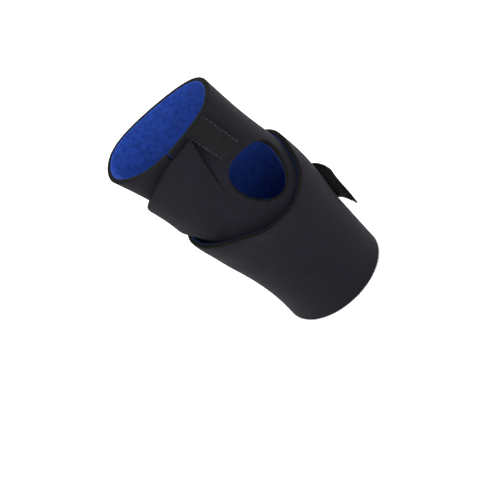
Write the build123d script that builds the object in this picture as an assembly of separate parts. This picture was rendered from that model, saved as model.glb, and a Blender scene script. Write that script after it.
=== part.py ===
from build123d import *
import os
from math import cos, pi, sin
from pathlib import Path
import numpy as np

# Wrist support brace, right hand, closed as worn. Millimetres.
# Origin: centre of the brace's footprint, on the plane of the cuff edge.
# +Z towards the fingers, +X thumb side, -Y palm, +Y back of the hand.
# A place on the brace is an angle about Z in degrees (0 at +X, 90 at +Y), a height z,
# and an offset outwards from the body form.

# ---- sheet: three plies with glue lines between them
LINING_T = 0.45  # knitted nylon
FOAM_T = 1.9     # neoprene
FACE_T = 0.45    # knitted nylon
BOND = 0.2       # glue line
SHEET_T = LINING_T + FOAM_T + FACE_T + 2 * BOND
PLIES = {  # inner and outer offset within the sheet
    "lining": (0.0, LINING_T),
    "foam": (LINING_T + BOND, LINING_T + BOND + FOAM_T),
    "face": (SHEET_T - FACE_T, SHEET_T),
}

# ---- skin-side offsets from the body form, and tape thicknesses
SLEEVE_OFFSET = 0.0
WRAP_OFFSET = 3.55
FLAP_OFFSET = 4.6
HOOK_T = 1.0
HOOK_OFFSET = FLAP_OFFSET - BOND - HOOK_T
WEB_OFFSET, WEB_T = 3.35, 1.2
TAB_OFFSET, TAB_T = 8.0, 1.1

# ---- body form
FOOT_X, FOOT_Y = 3.038, 0.559  # centre of the footprint in the form's own frame
BODY = np.array([  # z, half width, half depth, centre x, squareness
    (0, 28.7, 24.0, -1.1, 0.00),
    (25, 28.9, 23.0, 1.1, 0.00),
    (50, 31.4, 21.0, 1.4, 0.01),
    (70, 34.0, 20.5, 1.9, 0.03),
    (90, 34.3, 20.0, 3.1, 0.04),
    (110, 33.2, 18.5, 3.3, 0.05),
    (130, 33.9, 16.8, 1.6, 0.05),
    (160, 37.6, 15.4, -1.8, 0.05),
])

# ---- sheet outlines: (angle, height of the edge nearest the fingers)
SLEEVE_TOP = [
    (0, 160.5), (20, 161.5), (60, 162), (90, 161), (140, 158), (180, 155.5), (220, 153.5),
    (250, 151.5), (275, 153), (300, 156.5), (330, 159), (345, 160), (360, 160.5),
]
WRAP_TOP = [
    (0, 97), (20, 101.5), (60, 104), (100, 102), (150, 97), (190, 94.5), (215, 94.5),
    (237, 90), (264, 84), (290, 80.7), (308, 81), (330, 85), (345, 89.5), (360, 97),
]

# ---- sleeve: angles of its two ends, and the thumb hole
SLEEVE_START, SLEEVE_SPAN = 271.5, 357.6
SLEEVE_OVERRUN = 2.0  # sheet made below the cuff plane, then trimmed
HOLE_ANGLE, HOLE_Z = 309.0, 107.0
HOLE_HALF_WIDTH, HOLE_HALF_HEIGHT = 16.2, 18.8
HOLE_TAPER = 0.07  # makes the hole wider towards the fingers
HOLE_POINTS = 16
CUT_DEPTH, CUT_START = 30, 12  # cutter length, and how far inside the form it starts
TRIM_SIZE, TRIM_DEPTH = 200, 20

# ---- palm flap: (angle, z) ends of the straight base edge
FLAP_BASE_START, FLAP_BASE_END = (288.0, 152.0), (227.0, 99.5)
FLAP_FREE = np.array([  # free edge: fraction along it, angle, z
    (0, 265.5, 148.5), (0.35, 238, 140), (0.6, 217, 133), (0.8, 204, 123), (1, 198, 106),
])
# Hook tape: start and span as fractions of the flap, across it and along it
HOOK_ACROSS, HOOK_ALONG = (0.55, 0.37), (0.18, 0.6)

# ---- web strap
WEB_START, WEB_SPAN, WEB_SLANT = 323, 26, 3  # angles; the slant is over its full height
WEB_Z, WEB_TOP_GAP = 129.5, 0.7  # lower edge, and gap below the sleeve's top edge

# ---- wrist wrap: start and end angle of each length
HALF_GAP = 0.6
WRAP_LENGTHS = {
    "wrap_root": (62.0, -60 + HALF_GAP),
    "wrap_palmar": (-60 - HALF_GAP, -135 + HALF_GAP),
    "wrap_ulnar": (-135 - HALF_GAP, -220 + HALF_GAP),
    "wrap_dorsal": (-220 - HALF_GAP, -284.0),
}

# ---- dorsal hook tab
TAB_Z0, TAB_Z1 = 34.0, 66.0
TAB_ROOT, TAB_TIP = 85.5, 12
TAB_RISE, TAB_RISE_FROM, TAB_RISE_POWER = 4.6, 46, 1.6  # lift-off of the free end
TAB_SWEEP, TAB_SWEEP_FROM = 3, 30  # drop of the free end towards the cuff
PAD_START, PAD_END, PAD_INSET = 78, 15, 1.5
PAD_INNER, PAD_OUTER = -1.05, -0.15  # faces of the hook pad, measured from the tape
ANCHOR_START, ANCHOR_END = 112, 86.5

# ---- thread
THREAD_R = 0.28
THREAD_LIFT = THREAD_R + 0.12  # thread axis above the cloth
STITCH_FILL = 0.62  # stitch length as a share of the pitch
SEAM_INSET = 2  # of the anchor's seams from its edges, mm and degrees
CORNER_GAP = 1  # degrees left free at each end of the anchor's cross seams
SEAM_LOW, SEAM_HIGH = TAB_Z0 + SEAM_INSET, TAB_Z1 - SEAM_INSET
SEAM_START, SEAM_END = ANCHOR_START - SEAM_INSET, ANCHOR_END + SEAM_INSET
CROSS_START, CROSS_END = SEAM_START - CORNER_GAP, SEAM_END + CORNER_GAP
WRAP_SEAM = 58.5
STITCHING = {  # name: (offset of the cloth, [(start angle, z), (end angle, z), stitches])
    "web_strap_stitching": (WEB_OFFSET + WEB_T, [
        ((321.5, 131.5), (318.5, 155.5), 9),
        ((298.8, 131.5), (295.8, 153.5), 9),
    ]),
    "tab_stitching": (TAB_OFFSET + TAB_T, [
        ((SEAM_START, SEAM_LOW), (SEAM_START, SEAM_HIGH), 10),
        ((SEAM_END, SEAM_LOW), (SEAM_END, SEAM_HIGH), 10),
        ((CROSS_START, SEAM_LOW), (CROSS_END, SEAM_LOW), 3),
        ((CROSS_START, SEAM_HIGH), (CROSS_END, SEAM_HIGH), 3),
    ]),
    "wrap_seam_stitching": (WRAP_OFFSET + SHEET_T, [
        ((WRAP_SEAM, 4), (WRAP_SEAM, 30), 6),
        ((WRAP_SEAM, 70), (WRAP_SEAM, 100), 7),
    ]),
}


def natural_spline(knots, values):
    """Natural cubic spline through the points, as a function."""
    knots, values = np.asarray(knots, float), np.asarray(values, float)
    count = len(knots)
    step = np.diff(knots)
    matrix, right = np.eye(count), np.zeros(count)
    for i in range(1, count - 1):
        matrix[i, i - 1:i + 2] = step[i - 1], 2 * (step[i - 1] + step[i]), step[i]
        slope_after = (values[i + 1] - values[i]) / step[i]
        slope_before = (values[i] - values[i - 1]) / step[i - 1]
        right[i] = 6 * (slope_after - slope_before)
    bend = np.linalg.solve(matrix, right)  # second derivatives

    def evaluate(x):
        x = np.asarray(x, float)
        i = np.clip(np.searchsorted(knots, x) - 1, 0, count - 2)
        t, h = x - knots[i], step[i]
        slope = (values[i + 1] - values[i]) / h - h * (2 * bend[i] + bend[i + 1]) / 6
        cubic = t**3 * (bend[i + 1] - bend[i]) / (6 * h)
        return values[i] + t * slope + t**2 * bend[i] / 2 + cubic

    return evaluate


half_width, half_depth, centre_x, squareness = (
    natural_spline(BODY[:, 0], column) for column in BODY[:, 1:].T
)
sleeve_top = natural_spline(*zip(*SLEEVE_TOP))
wrap_top = natural_spline(*zip(*WRAP_TOP))
free_angle, free_z = (natural_spline(FLAP_FREE[:, 0], column) for column in FLAP_FREE[:, 1:].T)


def form_section(angle, z):
    """x and y on the body form; angle in radians."""
    k = squareness(z)
    x = centre_x(z) + half_width(z) * (np.cos(angle) - k * np.cos(3 * angle)) / (1 - k)
    y = half_depth(z) * (np.sin(angle) + k * np.sin(3 * angle)) / (1 - k)
    return x, y


def surface_points(angle, z, offset):
    """Points standing off the body form along its section's normal; angle in degrees."""
    angle = np.radians(np.asarray(angle, float))
    z = np.asarray(z, float)
    x, y = form_section(angle, z)
    x1, y1 = form_section(angle + 1e-3, z)
    x0, y0 = form_section(angle - 1e-3, z)
    length = np.hypot(x1 - x0, y1 - y0)
    x = x + (y1 - y0) / length * offset - FOOT_X
    y = y - (x1 - x0) / length * offset - FOOT_Y
    return np.stack([x, y, z + 0 * x], -1)


def unit_grid(u_count, v_count):
    return np.meshgrid(np.linspace(0, 1, u_count), np.linspace(0, 1, v_count), indexing="ij")


def sheet(grid, inner, outer):
    """Closed solid between two offsets over an (angle, z) grid."""
    faces = []
    for offset in (inner, outer):
        points = [[tuple(p) for p in line] for line in surface_points(*grid, offset)]
        faces.append(
            Face.make_surface_from_array_of_points(points, tol=0.012, min_deg=3, max_deg=6)
        )
    sides = []
    for edge in faces[0].edges():
        middle = edge.position_at(0.5)
        mate = min(faces[1].edges(), key=lambda e: (e.position_at(0.5) - middle).length)
        sides.append(Face.make_surface_from_curves(edge, mate))
    solid = Solid(Shell(faces + sides))
    if solid.volume < 0:  # faces point inwards
        solid = Solid(Shell([-face for face in faces + sides]))
    return solid if solid.is_valid else solid.fix()


def laminate(name, grid, base):
    return {
        f"{name}_{ply}": sheet(grid, base + inner, base + outer)
        for ply, (inner, outer) in PLIES.items()
    }


def thumb_hole():
    centre = surface_points(HOLE_ANGLE, HOLE_Z, 0.0)
    normal = surface_points(HOLE_ANGLE, HOLE_Z, 1.0) - centre
    plane = Plane(
        origin=tuple(centre - normal * CUT_START),
        x_dir=(-float(normal[1]), float(normal[0]), 0),
        z_dir=tuple(normal),
    )
    outline = []
    for t in np.linspace(0, 2 * pi, HOLE_POINTS + 1)[:-1]:
        width = HOLE_HALF_WIDTH * (1 - HOLE_TAPER + HOLE_TAPER * sin(t))
        outline.append(Vector(width * cos(t), HOLE_HALF_HEIGHT * sin(t)))
    return extrude(plane * make_face(Edge.make_spline(outline, periodic=True)), CUT_DEPTH)


def sleeve():
    """One sheet round the hand, split on the palm side, with a thumb hole."""
    u, v = unit_grid(91, 25)
    angle = SLEEVE_START - u * SLEEVE_SPAN
    z = v * (sleeve_top(angle % 360) + SLEEVE_OVERRUN) - SLEEVE_OVERRUN
    hole = thumb_hole()
    below_cuff = Pos(0, 0, -TRIM_DEPTH / 2) * Box(TRIM_SIZE, TRIM_SIZE, TRIM_DEPTH)
    plies = laminate("sleeve", (angle, z), SLEEVE_OFFSET)
    return {name: ply - hole - below_cuff for name, ply in plies.items()}


def flap_grid(u, v):
    """u runs from the base edge to the free edge, v from the finger end to the cuff end."""
    (angle0, z0), (angle1, z1) = FLAP_BASE_START, FLAP_BASE_END
    angle, z = angle0 + (angle1 - angle0) * v, z0 + (z1 - z0) * v
    return angle + (free_angle(v) - angle) * u, z + (free_z(v) - z) * u


def palm_flap():
    """Flap lapped over the sleeve, with hook tape beneath it."""
    parts = laminate("palm_flap", flap_grid(*unit_grid(21, 21)), FLAP_OFFSET)
    u, v = unit_grid(9, 13)
    (u0, u_span), (v0, v_span) = HOOK_ACROSS, HOOK_ALONG
    grid = flap_grid(u0 + u_span * u, v0 + v_span * v)
    parts["palm_flap_hook"] = sheet(grid, HOOK_OFFSET, HOOK_OFFSET + HOOK_T)
    return parts


def web_strap():
    """Strap between thumb and index finger, sewn over the sleeve."""
    u, v = unit_grid(13, 13)
    angle = WEB_START - WEB_SLANT * v - WEB_SPAN * u
    z = WEB_Z + v * (sleeve_top(angle % 360) - WEB_TOP_GAP - WEB_Z)
    return {"web_strap": sheet((angle, z), WEB_OFFSET, WEB_OFFSET + WEB_T)}


def wrist_wrap():
    """Four lengths: root on the thumb side, then palmar, ulnar and dorsal."""
    parts = {}
    for name, (start, end) in WRAP_LENGTHS.items():
        u, v = unit_grid(max(15, int(abs(start - end) / 2)), 17)
        angle = start + (end - start) * u
        parts |= laminate(name, (angle, v * wrap_top(angle % 360)), WRAP_OFFSET)
    return parts


def towards_tip(angle, start):
    """0 up to the start angle, rising to 1 at the tab's tip."""
    return np.clip((start - angle) / (start - TAB_TIP), 0, 1)


def tab_piece(u_count, start, end, inner, outer, inset=0.0):
    u, v = unit_grid(u_count, 13)
    angle = start + (end - start) * u
    sweep = TAB_SWEEP * towards_tip(angle, TAB_SWEEP_FROM) ** 2
    z = TAB_Z0 + inset - sweep + (TAB_Z1 - TAB_Z0 - 2 * inset) * v
    base = TAB_OFFSET + TAB_RISE * towards_tip(angle, TAB_RISE_FROM) ** TAB_RISE_POWER
    return sheet((angle, z), base + inner, base + outer)


def hook_tab():
    """Tape with a hook pad on its underside, and the anchor sewn on the wrap's end."""
    return {
        "tab_tape": tab_piece(38, TAB_ROOT, TAB_TIP, 0, TAB_T),
        "tab_hook": tab_piece(34, PAD_START, PAD_END, PAD_INNER, PAD_OUTER, PAD_INSET),
        "tab_anchor": tab_piece(15, ANCHOR_START, ANCHOR_END, 0, TAB_T),
    }


def stitch_row(start, end, count, offset):
    """Short raised stitches, evenly spaced from start to end."""
    start, end = np.array(start), np.array(end)
    stitches = []
    for i in range(count):
        head, tail = (
            surface_points(*(start + (end - start) * (i + 0.5 + half) / count), offset)
            for half in (-STITCH_FILL / 2, STITCH_FILL / 2)
        )
        length = float(np.linalg.norm(tail - head))
        plane = Plane(origin=tuple(head), z_dir=tuple((tail - head) / length))
        stitches.append(Solid.make_cylinder(THREAD_R, length, plane))
    return stitches


def stitching():
    return {
        name: Compound(children=[
            stitch for row in rows for stitch in stitch_row(*row, cloth + THREAD_LIFT)
        ])
        for name, (cloth, rows) in STITCHING.items()
    }


os.makedirs("parts", exist_ok=True)
for old_file in Path("parts").glob("*.step"):
    old_file.unlink()
for build in (sleeve, palm_flap, web_strap, wrist_wrap, hook_tab, stitching):
    for name, shape in build().items():
        export_step(shape, f"parts/{name}.step")
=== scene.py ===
"""A hand sleeve of foam sheet with a thumb hole, a palm flap, a wrap and a hook tab.

The sleeve stands on its lower edge along +Z, broad in X, with the palm towards -Y and
the thumb hole between +X and -Y. Shapes are in millimetres. A place on a piece is an
angle round the section (0 at +X, 90 at +Y), a height z, and a depth outwards from the
inside of the sleeve. Meshes are made in metres.
"""
import math

import bpy
import numpy as np
from mathutils import Matrix, Vector


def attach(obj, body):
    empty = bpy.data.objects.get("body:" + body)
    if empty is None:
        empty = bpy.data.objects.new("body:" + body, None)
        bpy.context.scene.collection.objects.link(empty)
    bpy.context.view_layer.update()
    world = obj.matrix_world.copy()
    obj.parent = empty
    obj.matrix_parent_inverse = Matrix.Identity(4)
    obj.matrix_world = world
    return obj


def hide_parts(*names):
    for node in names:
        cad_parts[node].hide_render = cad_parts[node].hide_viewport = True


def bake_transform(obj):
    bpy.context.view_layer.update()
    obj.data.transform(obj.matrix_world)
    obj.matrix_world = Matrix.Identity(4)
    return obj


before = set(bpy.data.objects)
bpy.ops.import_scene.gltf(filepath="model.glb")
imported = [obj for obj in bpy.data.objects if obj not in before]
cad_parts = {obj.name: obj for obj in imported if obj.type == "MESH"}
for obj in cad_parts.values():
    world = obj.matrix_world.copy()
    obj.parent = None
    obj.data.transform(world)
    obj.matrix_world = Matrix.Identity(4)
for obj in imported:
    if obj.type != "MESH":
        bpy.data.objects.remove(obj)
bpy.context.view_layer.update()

rng = np.random.default_rng(7)

# Sections of the inside: height, half width, half depth, middle in x, squareness
SECTIONS = np.array([
    (0, 28.7, 24.0, -1.1, 0.00), (25, 28.9, 23.0, 1.1, 0.00),
    (50, 31.4, 21.0, 1.4, 0.01), (70, 34.0, 20.5, 1.9, 0.03),
    (90, 34.3, 20.0, 3.1, 0.04), (110, 33.2, 18.5, 3.3, 0.05),
    (130, 33.9, 16.8, 1.6, 0.05), (160, 37.6, 15.4, -1.8, 0.05),
])
SHIFT_X, SHIFT_Y = -3.038, -0.559  # moves the sections into the CAD frame

# Top edges: angle, height
SLEEVE_TOP = [
    (0, 160.5), (20, 161.5), (60, 162), (90, 161), (140, 158), (180, 155.5), (220, 153.5),
    (250, 151.5), (275, 153), (300, 156.5), (330, 159), (345, 160), (360, 160.5),
]
WRAP_TOP = [
    (0, 97), (20, 101.5), (60, 104), (100, 102), (150, 97), (190, 94.5), (215, 94.5),
    (237, 90), (264, 84), (290, 80.7), (308, 81), (330, 85), (345, 89.5), (360, 97),
]

SHEET_T = 3.2  # thickness of the foam sheet
WRAP_DEPTH = 3.55
FLAP_DEPTH = 4.6
WEB_DEPTH, WEB_T = 3.35, 1.2
TAB_DEPTH, TAB_T = 8.0, 1.1
TAB_BOTTOM, TAB_TOP = 34.0, 66.0
HOLE_ANGLE, HOLE_Z = 309.0, 107.0
HOLE_HALF_W, HOLE_HALF_H = 16.2, 18.8


# ---------- curves and the hand surface
def natural_spline(knots, values):
    """Natural cubic spline through the knots."""
    knots, values = np.asarray(knots, float), np.asarray(values, float)
    count = len(knots)
    gap = np.diff(knots)
    slope = np.diff(values) / gap
    system, right_side = np.eye(count), np.zeros(count)
    for i in range(1, count - 1):
        system[i, i - 1:i + 2] = gap[i - 1], 2 * (gap[i - 1] + gap[i]), gap[i]
        right_side[i] = 6 * (slope[i] - slope[i - 1])
    bend = np.linalg.solve(system, right_side)

    def value(x):
        x = np.asarray(x, float)
        i = np.clip(np.searchsorted(knots, x) - 1, 0, count - 2)
        t, g = x - knots[i], gap[i]
        return (values[i] + t * (slope[i] - g * (2 * bend[i] + bend[i + 1]) / 6)
                + t**2 * bend[i] / 2 + t**3 * (bend[i + 1] - bend[i]) / (6 * g))
    return value


def edge_height(table):
    height = natural_spline(*zip(*table))
    return lambda angle: height(np.asarray(angle) % 360)


half_width, half_depth, middle_x, squareness = (
    natural_spline(SECTIONS[:, 0], column) for column in SECTIONS.T[1:])
sleeve_top, wrap_top = edge_height(SLEEVE_TOP), edge_height(WRAP_TOP)


def section(turn, z):
    """Point of the inside section at a turn in radians."""
    square = squareness(z)
    x = middle_x(z) + half_width(z) * (np.cos(turn) - square * np.cos(3 * turn)) / (1 - square)
    return x, half_depth(z) * (np.sin(turn) + square * np.sin(3 * turn)) / (1 - square)


def surface(angle, z, depth):
    turn = np.radians(np.asarray(angle, float))
    z = np.asarray(z, float) + 0 * turn
    x, y = section(turn, z)
    x1, y1 = section(turn + 1e-3, z)
    x0, y0 = section(turn - 1e-3, z)
    length = np.hypot(x1 - x0, y1 - y0)
    return np.stack([x + (y1 - y0) / length * depth + SHIFT_X,
                     y - (x1 - x0) / length * depth + SHIFT_Y, z], -1)


def smooth(t):
    t = np.clip(t, 0, 1)
    return t * t * (3 - 2 * t)


def unevenness(angle, z, height, seed):
    """Gentle waves of worn sheet."""
    draw = np.random.default_rng(seed)
    total = 0
    for _ in range(7):
        total = total + math.cos(draw.uniform(0, 6)) * np.sin(
            np.radians(angle) * draw.integers(2, 7) + z * draw.uniform(.02, .13)
            + draw.uniform(0, 6))
    return height * total / 3


def unit(vectors):
    return vectors / (np.linalg.norm(vectors, axis=-1, keepdims=True) + 1e-9)


# ---------- materials
def knit_height(tree, coords, scale):
    """Two crossed sets of wavy bands."""
    waves = []
    for direction in "ZX":
        wave = tree.nodes.new("ShaderNodeTexWave")
        wave.inputs["Scale"].default_value = scale / 3
        wave.inputs["Distortion"].default_value = 1.5
        wave.bands_direction = direction
        waves.append(wave)
    add = tree.nodes.new("ShaderNodeMath")
    add.operation = "ADD"
    for i, wave in enumerate(waves):
        tree.links.new(coords, wave.inputs["Vector"])
        tree.links.new(wave.outputs["Fac"], add.inputs[i])
    return add.outputs[0]


def foam_height(tree, coords, scale):
    cells = tree.nodes.new("ShaderNodeTexVoronoi")
    cells.inputs["Scale"].default_value = scale
    tree.links.new(coords, cells.inputs["Vector"])
    return cells.outputs["Distance"]


def fabric(name, color, rough, sheen, scale=1800, bump=.35, height=knit_height):
    """Mottled cloth or foam; scale and bump set the fine relief."""
    mottle, rough_spread = .32, .08
    material = bpy.data.materials.new(name)
    material.use_nodes = True
    tree = material.node_tree
    new, link = tree.nodes.new, tree.links.new
    shader = tree.nodes["Principled BSDF"]
    for socket, value in (("Roughness", rough), ("Sheen Weight", sheen),
                          ("Sheen Roughness", .5), ("Specular IOR Level", .10)):
        shader.inputs[socket].default_value = value

    coords = new("ShaderNodeTexCoord").outputs["Object"]
    noise = new("ShaderNodeTexNoise")
    noise.inputs["Scale"].default_value = 420
    noise.inputs["Detail"].default_value = 6
    link(coords, noise.inputs["Vector"])
    ramp = new("ShaderNodeValToRGB")
    stops = ((.3, 1 - mottle), (.72, 1 + mottle))
    for stop, (position, gain) in zip(ramp.color_ramp.elements, stops):
        stop.position = position
        stop.color = (*[c * gain for c in color], 1)
    link(noise.outputs["Fac"], ramp.inputs["Fac"])
    link(ramp.outputs["Color"], shader.inputs["Base Color"])

    relief = height(tree, coords, scale)
    bumps = new("ShaderNodeBump")
    bumps.inputs["Strength"].default_value = bump
    bumps.inputs["Distance"].default_value = .0002
    link(relief, bumps.inputs["Height"])
    link(bumps.outputs["Normal"], shader.inputs["Normal"])
    spread = new("ShaderNodeMapRange")
    spread.inputs["To Min"].default_value = rough - rough_spread
    spread.inputs["To Max"].default_value = min(1, rough + rough_spread)
    link(noise.outputs["Fac"], spread.inputs["Value"])
    link(spread.outputs["Result"], shader.inputs["Roughness"])
    return material


JERSEY = fabric("outer_jersey", color=(.0050, .0043, .0078), rough=.80, sheen=.010)
FOAM = fabric("foam_core", color=(.0038, .0045, .0036), rough=.94, sheen=0, scale=1500,
              bump=.5, height=foam_height)
BLUE = fabric("blue_lining", color=(.011, .040, .24), rough=.85, sheen=.02)
TAPE = fabric("woven_tape", color=(.005, .005, .006), rough=.8, sheen=.02, scale=1400, bump=.6)
HOOK = fabric("hook_tape", color=(.012, .012, .013), rough=.6, sheen=0, scale=1200, bump=.4)
THREAD = fabric("thread", color=(.035, .035, .045), rough=.7, sheen=.05, scale=4000, bump=.4)
HOOK_PIN = fabric("hook_pin", color=(.16, .16, .17), rough=.45, sheen=0, scale=4000, bump=.2)
PLIES = [JERSEY, FOAM, BLUE]


# ---------- panels: closed thick sheets over a flat mesh of (angle, z) points
MM_PER_DEGREE = .52  # used when insetting panel edges
# Edge profile, outer face to inner: share of thickness, inset, ply
RIM = [
    (1.0, .34, 0), (.965, .12, 0), (.88, 0, 1), (.68, -.10, 1), (.5, -.06, 1),
    (.32, -.10, 1), (.12, 0, 1), (.03, .16, 2), (0.0, .34, 2),
]


def make_mesh(name, points, faces, face_slots, materials):
    mesh = bpy.data.meshes.new(name)
    mesh.from_pydata([tuple(p) for p in np.asarray(points) / 1000], [], faces)
    mesh.polygons.foreach_set("material_index", np.array(face_slots, np.int32))
    mesh.polygons.foreach_set("use_smooth", np.ones(len(faces), bool))
    for material in materials:
        mesh.materials.append(material)
    mesh.validate()
    mesh.update()
    piece = bpy.data.objects.new(name, mesh)
    bpy.context.scene.collection.objects.link(piece)
    return piece


def grid(columns, rows, place):
    """Flat points and quads; place turns u, v in 0..1 into angle and z."""
    u, v = np.meshgrid(np.linspace(0, 1, columns), np.linspace(0, 1, rows), indexing="ij")
    angle, z = place(u, v)
    quads = [(i * rows + j, (i + 1) * rows + j, (i + 1) * rows + j + 1, i * rows + j + 1)
             for i in range(columns - 1) for j in range(rows - 1)]
    return np.stack([angle.ravel(), z.ravel()], -1), quads


def open_edges(quads):
    edges = dict.fromkeys((q[i], q[(i + 1) % 4]) for q in quads for i in range(4))
    return [(a, b) for a, b in edges if (b, a) not in edges]


def near_any(values, targets):
    return (np.abs(values[:, None] - np.array(targets)) < 1e-6).any(1)


def panel(name, flat, quads, place, materials=PLIES, flush=(), thin=None):
    """Thick sheet; place(angle, z, share) gives its points, share 0 inside to 1 outside.

    Edges at the flush angles aren't inset sideways. Rim faces between thin points
    take the first material.
    """
    edges = open_edges(quads)
    scale = np.array([MM_PER_DEGREE, 1])
    scaled = flat * scale
    inward = {}
    for a, b in edges:
        along = scaled[b] - scaled[a]
        normal = unit(np.array([-along[1], along[0]]))
        for i in (a, b):
            inward[i] = inward.get(i, 0) + normal
    border = sorted(inward)
    normals = unit(np.array([inward[i] for i in border]))
    normals[near_any(flat[border, 0], flush)] *= [0, 1]
    jitter = rng.normal(0, .035, len(border))
    if thin is None:
        thin = np.zeros(len(flat), bool)

    def layer(share, inset):
        moved = flat.copy()
        rough = jitter[:, None] if 0 < share < 1 else 0
        moved[border] += normals / scale * (inset + rough)
        return place(moved[:, 0], moved[:, 1], share)

    count = len(flat)
    points = [layer(*RIM[0][:2]), layer(*RIM[-1][:2])]
    faces = quads + [tuple(i + count for i in q[::-1]) for q in quads]
    slots = [0] * len(quads) + [2] * len(quads)
    last = {i: i for i in border}
    start = 2 * count
    for share, inset, ply in RIM[1:]:
        if share == 0:
            ring = {i: i + count for i in border}
        else:
            points.append(layer(share, inset)[border])
            ring = {i: start + k for k, i in enumerate(border)}
            start += len(border)
        for a, b in edges:
            faces.append((last[b], last[a], ring[a], ring[b]))
            slots.append(0 if thin[a] and thin[b] else ply)
        last = ring
    return make_mesh(name, np.concatenate(points), faces, slots, materials)


# ---------- sleeve
def hole_radius(flat):
    """Radius of each point in hole sizes, and whether it is on the hole's side."""
    centre = surface(HOLE_ANGLE, HOLE_Z, 0.)
    outward = surface(HOLE_ANGLE, HOLE_Z, 1.) - centre
    sideways = np.array([-outward[1], outward[0], 0])
    offset = surface(flat[:, 0], flat[:, 1], SHEET_T / 2) - centre
    across, rise = offset @ sideways / HOLE_HALF_W, offset[:, 2] / HOLE_HALF_H
    narrowing = .93 + .07 * np.sin(np.arctan2(rise, across))
    return np.hypot(across / narrowing, rise), offset @ outward > -14


def cut_hole(flat, quads):
    """Drops the quads in the thumb hole and snaps its rim to a smooth oval."""
    radius, same_side = hole_radius(flat)
    inside = (radius < 1) & same_side
    quads = [q for q in quads if not any(inside[i] for i in q)]
    rim = sorted({i for edge in open_edges(quads) for i in edge
                  if radius[i] < 1.25 and same_side[i]})
    centre = np.array([HOLE_ANGLE - 360, HOLE_Z])
    for _ in range(6):
        flat[rim] = centre + (flat[rim] - centre) / hole_radius(flat[rim])[0][:, None]
    used = sorted({i for q in quads for i in q})
    renumber = {old: new for new, old in enumerate(used)}
    return flat[used], [tuple(renumber[i] for i in q) for q in quads]


def sleeve_flat(u, v):
    angle = -86.1 + u * 357.6
    return angle, v * sleeve_top(angle)


def sleeve_waves(angle, z):
    return unevenness(angle, z, height=.10, seed=3) * smooth((z - 98) / 12)


def place_sleeve(angle, z, share):
    return surface(angle, z, share * SHEET_T + sleeve_waves(angle, z))


sleeve = panel("hand_sleeve_sheet", *cut_hole(*grid(241, 110, sleeve_flat)), place_sleeve)

# ---------- palm flap: four sides as (angle, z)
FLAP_START = [(296, 154), (287, 137), (279, 121), (276.5, 108), (278, 95), (282, 84), (287, 71)]
FLAP_TOP = [(296, 154), (288, 152.3), (277, 150.5), (265.5, 148.5)]
FLAP_END = [(265.5, 148.5), (238, 140), (217, 133), (204, 123), (198, 106)]
FLAP_BOTTOM = [(287, 71), (262, 76), (240, 87), (227, 98.5), (212, 103), (198, 106)]
SKIVED_DEPTH, SKIVED_T = 3.215, .05  # where the flap thins out onto the sleeve


def side_curve(table):
    table = np.array(table, float)
    angle, z = (natural_spline(np.linspace(0, 1, len(table)), c) for c in table.T)
    return lambda t: np.stack([angle(t), z(t)], -1)


def flap_flat(u, v):
    """Coons patch between the four sides."""
    start, top, end, bottom = map(side_curve, (FLAP_START, FLAP_TOP, FLAP_END, FLAP_BOTTOM))
    across, down = u[..., None], v[..., None]
    corners = ((1 - across) * (1 - down) * np.array(FLAP_TOP[0])
               + across * (1 - down) * np.array(FLAP_TOP[-1])
               + across * down * np.array(FLAP_BOTTOM[-1])
               + (1 - across) * down * np.array(FLAP_BOTTOM[0]))
    patch = ((1 - across) * start(v) + across * end(v)
             + (1 - down) * top(u) + down * bottom(u) - corners)
    return patch[..., 0], patch[..., 1]


def flap_rise(angle, z):
    """Grows across a slanting band, from 0 on the sleeve to 1 where the flap is full."""
    band = 16
    distance = .843 * (angle * .55 - 158.4) - .538 * (z - 152)
    return (band - distance) / band


def place_flap(angle, z, share):
    full = smooth(flap_rise(angle, z))
    tip = .9 * smooth((225 - angle) / 28)
    thickness = SKIVED_T + (SHEET_T - SKIVED_T) * full
    depth = SKIVED_DEPTH + (FLAP_DEPTH - SKIVED_DEPTH) * full + share * thickness
    lift = (unevenness(angle, z, height=.12, seed=9) + tip) * full
    return surface(angle, z, depth + lift + sleeve_waves(angle, z) * (1 - full))


flap_points, flap_quads = grid(110, 110, flap_flat)
flap = panel("palm_flap_sheet", flap_points, flap_quads, place_flap,
             thin=flap_rise(*flap_points.T) < .45)

# ---------- wrap, in three lengths that meet flush
WRAP_JOINS = (-97., -177.)
WRAP_LENGTHS = [
    ("wrap_sheet_root", WRAP_JOINS[0], 62.),
    ("wrap_sheet_palmar", WRAP_JOINS[1], WRAP_JOINS[0]),
    ("wrap_sheet_dorsal", -284., WRAP_JOINS[1]),
]
# Flares of the top edge: size, angle, spread in degrees, reach down from the edge
WRAP_FLARES = [(1.7, 280, 34, 17), (3.4, 226, 27, 26), (1.3, 276, 11, 8)]


def place_wrap(angle, z, share):
    turn = angle % 360
    above_top = z - wrap_top(angle)
    flare = sum(size * np.exp(-((turn - middle) / spread) ** 2)
                * smooth((above_top + reach) / reach)
                for size, middle, spread, reach in WRAP_FLARES)
    waves = unevenness(turn, z, height=.16, seed=5) * smooth(z / 10)
    return surface(angle, z, WRAP_DEPTH + share * SHEET_T + flare + waves)


def blend_join_normals(mesh, flat, quad_count):
    """Makes the outer shading run on across the flush joins."""
    corners = np.zeros(len(mesh.loops), np.int32)
    mesh.loops.foreach_get("vertex_index", corners)
    normals = np.zeros(len(mesh.vertices) * 3, np.float32)
    mesh.vertices.foreach_get("normal", normals)
    normals = normals.reshape(-1, 3)[corners]
    outer = np.arange(4 * quad_count)
    at_join = outer[near_any(flat[corners[outer], 0], WRAP_JOINS)]
    angle, z = flat[corners[at_join]].T
    step = .4
    normals[at_join] = unit(np.cross(
        place_wrap(angle + step, z, 1.) - place_wrap(angle - step, z, 1.),
        place_wrap(angle, z + step, 1.) - place_wrap(angle, z - step, 1.)))
    mesh.normals_split_custom_set(normals.tolist())


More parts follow.
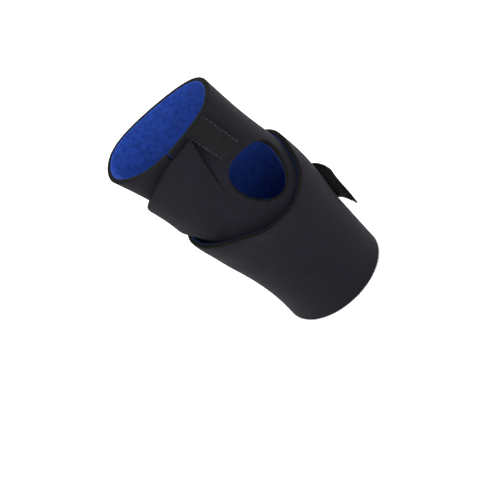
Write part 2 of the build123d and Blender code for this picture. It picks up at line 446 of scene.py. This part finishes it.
def wrap_length(name, start, end):
    def place_flat(u, v):
        angle = start + (end - start) * u
        return angle, v * wrap_top(angle)

    flat, quads = grid(int((end - start) / 1.25), 70, place_flat)
    piece = panel(name, flat, quads, place_wrap, flush=WRAP_JOINS)
    blend_join_normals(piece.data, flat, len(quads))
    return piece


wraps = [wrap_length(*row) for row in WRAP_LENGTHS]

# ---------- web strap: ribbed tape between the thumb hole and the sleeve top
WEB_BOTTOM = 129.5


def web_flat(u, v):
    angle = 297 - 3 * v + 26 * u
    return angle, WEB_BOTTOM + v * (sleeve_top(angle) - .7 - WEB_BOTTOM)


def place_web(angle, z, share):
    ribs = share * .10 * np.sin(z * 4.2)
    waves = unevenness(angle, z, height=.07, seed=2)
    return surface(angle, z, WEB_DEPTH + share * WEB_T + ribs + waves)


web = panel("web_strap_tape", *grid(60, 160, web_flat), place_web, [TAPE] * 3)


# ---------- hook tab: tape with a pad of hooks on its inner face
def tab_depth(angle):
    """The tab stands further out towards its free end."""
    return TAB_DEPTH + 4.6 * np.clip((46 - angle) / 34, 0, 1) ** 1.6


def tab_drop(angle):
    return 3 * np.clip((30 - angle) / 18, 0, 1) ** 2


def tab_flat(start, end, inset=0.):
    def place_flat(u, v):
        angle = start + (end - start) * u
        height = TAB_TOP - TAB_BOTTOM - 2 * inset
        return angle, TAB_BOTTOM + inset - tab_drop(angle) + height * v
    return place_flat


def place_tab(angle, z, share):
    ribs = share * .06 * np.sin(z * 4)
    curl = .25 * np.sin(z * .19) * smooth((40 - angle) / 25)
    return surface(angle, z, tab_depth(angle) + share * TAB_T + ribs + curl)


def place_pad(angle, z, share):
    return surface(angle, z, tab_depth(angle) - .75 + share * .68)


tab = panel("tab_tape_strip", *grid(140, 60, tab_flat(12, 112)), place_tab, [TAPE] * 3)
hook_pad = panel("tab_hook_pad", *grid(70, 40, tab_flat(15, 78, inset=1.5)), place_pad,
                 [HOOK] * 3)


# ---------- threads and hooks
def tubes(name, lines, radius, material, sides=6):
    """Thin tubes along the lines, narrowed at both ends."""
    points, faces = [], []
    for line in lines:
        base, last = len(points), len(line) - 1
        for i, centre in enumerate(line):
            along = unit(line[min(i + 1, last)] - line[max(i - 1, 0)])
            side = unit(np.cross(along, [.3, .5, .81]))
            other = np.cross(along, side)
            r = radius * (.55 if i in (0, last) else 1)
            for s in range(sides):
                turn = 2 * math.pi * s / sides
                points.append(centre + r * (math.cos(turn) * side + math.sin(turn) * other))
        for ring in range(base, base + last * sides, sides):
            for s in range(sides):
                after = (s + 1) % sides
                faces.append((ring + s, ring + after, ring + sides + after, ring + sides + s))
        faces.append(tuple(base + s for s in range(sides))[::-1])
        faces.append(tuple(base + last * sides + s for s in range(sides)))
    return make_mesh(name, points, faces, [0] * len(faces), [material])


def stitches(face_depth, rows):
    """Arched stitches; each row is start angle, end angle, start z, end z, count."""
    lift, dip, fill = .28, .35, .62  # above the face, sink of the ends, share of the pitch
    span = np.linspace(-.5, .5, 7)
    arch = np.sin(np.linspace(0, math.pi, 7))
    lines = []
    for angle0, angle1, z0, z1, count in rows:
        for i in range(count):
            t = (i + .5 + (span + rng.normal(0, .02)) * fill) / count
            lines.append(surface(angle0 + (angle1 - angle0) * t, z0 + (z1 - z0) * t,
                                 face_depth + lift - dip * (1 - arch)))
    return lines


def hook_lines():
    """Bent pins in rows over the inner face of the pad."""
    bend = [(0, .72), (0, 1.0), (.2, 1.12), (.5, 1.04)]  # angle back, depth inwards
    lines = []
    for angle in np.arange(16.5, 77, 2.0):
        for row_z in np.arange(TAB_BOTTOM + 2.5, TAB_TOP - 3, 1.25):
            z = row_z - tab_drop(angle)
            lines.append([surface(angle - back, z, tab_depth(angle) - inwards)
                          for back, inwards in bend])
    return lines


web_thread = tubes("web_strap_thread", stitches(WEB_DEPTH + WEB_T, [
    (321.5, 318.5, 131.5, 155.5, 9), (298.8, 295.8, 131.5, 153.5, 9)]), .24, THREAD)
low, high = TAB_BOTTOM + 2, TAB_TOP - 2
tab_thread = tubes("tab_thread", stitches(TAB_DEPTH + TAB_T, [
    (110, 110, low, high, 12), (88.5, 88.5, low, high, 12),
    (109, 89.5, low, low, 4), (109, 89.5, high, high, 4)]), .22, THREAD)
seam_thread = tubes("wrap_seam_thread", stitches(WRAP_DEPTH + SHEET_T, [
    (58.5, 58.5, 4, 30, 7), (58.5, 58.5, 70, 100, 9)]), .24, THREAD)
tab_hooks = tubes("tab_hooks", hook_lines(), .11, HOOK_PIN, sides=4)

# Outer faces point outwards; done last, as it reorders face corners
for piece in [sleeve, flap, web, tab, hook_pad, *wraps]:
    face = piece.data.polygons[0]
    if face.normal.x * face.center.x + face.normal.y * face.center.y < 0:
        piece.data.flip_normals()

# The CAD hook patch on the palm flap stays, with its own finish
palm_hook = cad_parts["palm_flap_hook"]
palm_hook.data.materials.clear()
palm_hook.data.materials.append(HOOK)


# ---------- what rides on which body, and which CAD parts are hidden
def metres(x, y, z):
    return (x + SHIFT_X) / 1000, (y + SHIFT_Y) / 1000, z / 1000


def plies(name):
    return [f"{name}_lining", f"{name}_foam", f"{name}_face"]


def ride(piece, carrier, slot, *replaced):
    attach(piece, carrier)
    if replaced:
        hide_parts(*replaced)


def blend(piece, first, second, start, end, *replaced):
    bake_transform(piece)
    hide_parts(*replaced)


ride(sleeve, "hand_sleeve", "outer_jersey", *plies("sleeve"))
ride(web, "hand_sleeve", "webbing", "web_strap")
ride(web_thread, "hand_sleeve", "thread", "web_strap_stitching")
ride(seam_thread, "hand_sleeve", "thread", "wrap_seam_stitching")
blend(flap, "hand_sleeve", "palm_flap", (-6.2 + 3.2, -25, 125.7 - 2.4),
      (-6.2 - 3.2, -25, 125.7 + 2.4), *plies("palm_flap"))
blend(wraps[0], "hand_sleeve", "wrap_palmar", (25, -20, 50), (13, -28, 50),
      *plies("wrap_root"))
blend(wraps[1], "wrap_palmar", "wrap_ulnar", (-18, -25, 50), (-29, -15, 50),
      *plies("wrap_palmar"), *plies("wrap_ulnar"))
blend(wraps[2], "wrap_ulnar", "wrap_dorsal", (-30, 13, 50), (-21, 23, 50),
      *plies("wrap_dorsal"))
blend(tab, "wrap_dorsal", "hook_tab", (1.68, 31.49, 50), (6.68, 31.49, 50),
      "tab_tape", "tab_anchor")
ride(tab_thread, "wrap_dorsal", "thread", "tab_stitching")
ride(hook_pad, "hook_tab", "hook_tape", "tab_hook")
ride(tab_hooks, "hook_tab", "hook_tape")


# ---------- floor, light, camera
def stage(name, data):
    item = bpy.data.objects.new(name, data)
    bpy.context.scene.collection.objects.link(item)
    return item


def add_floor(half=9, z=-.0004):
    mesh = bpy.data.meshes.new("floor")
    corners = [(-half, -half, z), (half, -half, z), (half, half, z), (-half, half, z)]
    mesh.from_pydata(corners, [], [(0, 1, 2, 3)])
    stage("floor", mesh)
    material = bpy.data.materials.new("pale_floor")
    material.use_nodes = True
    shader = material.node_tree.nodes["Principled BSDF"]
    shader.inputs["Base Color"].default_value = (.93, .93, .93, 1)
    shader.inputs["Roughness"].default_value = .9
    mesh.materials.append(material)


def add_world():
    world = bpy.data.worlds.new("studio")
    bpy.context.scene.world = world
    world.use_nodes = True
    background = world.node_tree.nodes["Background"]
    background.inputs["Color"].default_value = (1, 1, 1, 1)
    background.inputs["Strength"].default_value = .95


def area_light(name, place, size, power):
    light = bpy.data.lights.new(name, "AREA")
    light.size = size
    light.energy = power
    lamp = stage(name, light)
    lamp.location = place
    aim = Vector(metres(0, 0, 80)) - Vector(place)
    lamp.rotation_euler = aim.to_track_quat("-Z", "Y").to_euler()


def add_camera():
    turn, rise, roll = (math.radians(a) for a in (30, 35, -51.97))
    distance = .65
    back = Vector((math.sin(turn) * math.cos(rise), -math.cos(turn) * math.cos(rise),
                   math.sin(rise)))
    level = Vector((math.cos(turn), math.sin(turn), 0))
    upright = back.cross(level)
    right = level * math.cos(roll) + upright * math.sin(roll)
    up = -level * math.sin(roll) + upright * math.cos(roll)
    place = Vector(metres(-15.39, -14.772, 64.704)) + back * distance
    data = bpy.data.cameras.new("camera")
    data.lens = 79.85
    data.sensor_width = 36
    data.clip_start = .01
    data.clip_end = 100
    camera = stage("camera", data)
    rows = [(right[i], up[i], back[i], place[i]) for i in range(3)]
    camera.matrix_world = Matrix((*rows, (0, 0, 0, 1)))
    bpy.context.scene.camera = camera


add_floor()
add_world()
bpy.context.scene.view_settings.view_transform = "Standard"
area_light("key", place=(-.5, -.7, 1.1), size=.6, power=13)
area_light("fill", place=(.9, -.5, .6), size=.8, power=7)
area_light("rim", place=(.3, 1.0, .8), size=.6, power=12)
add_camera()
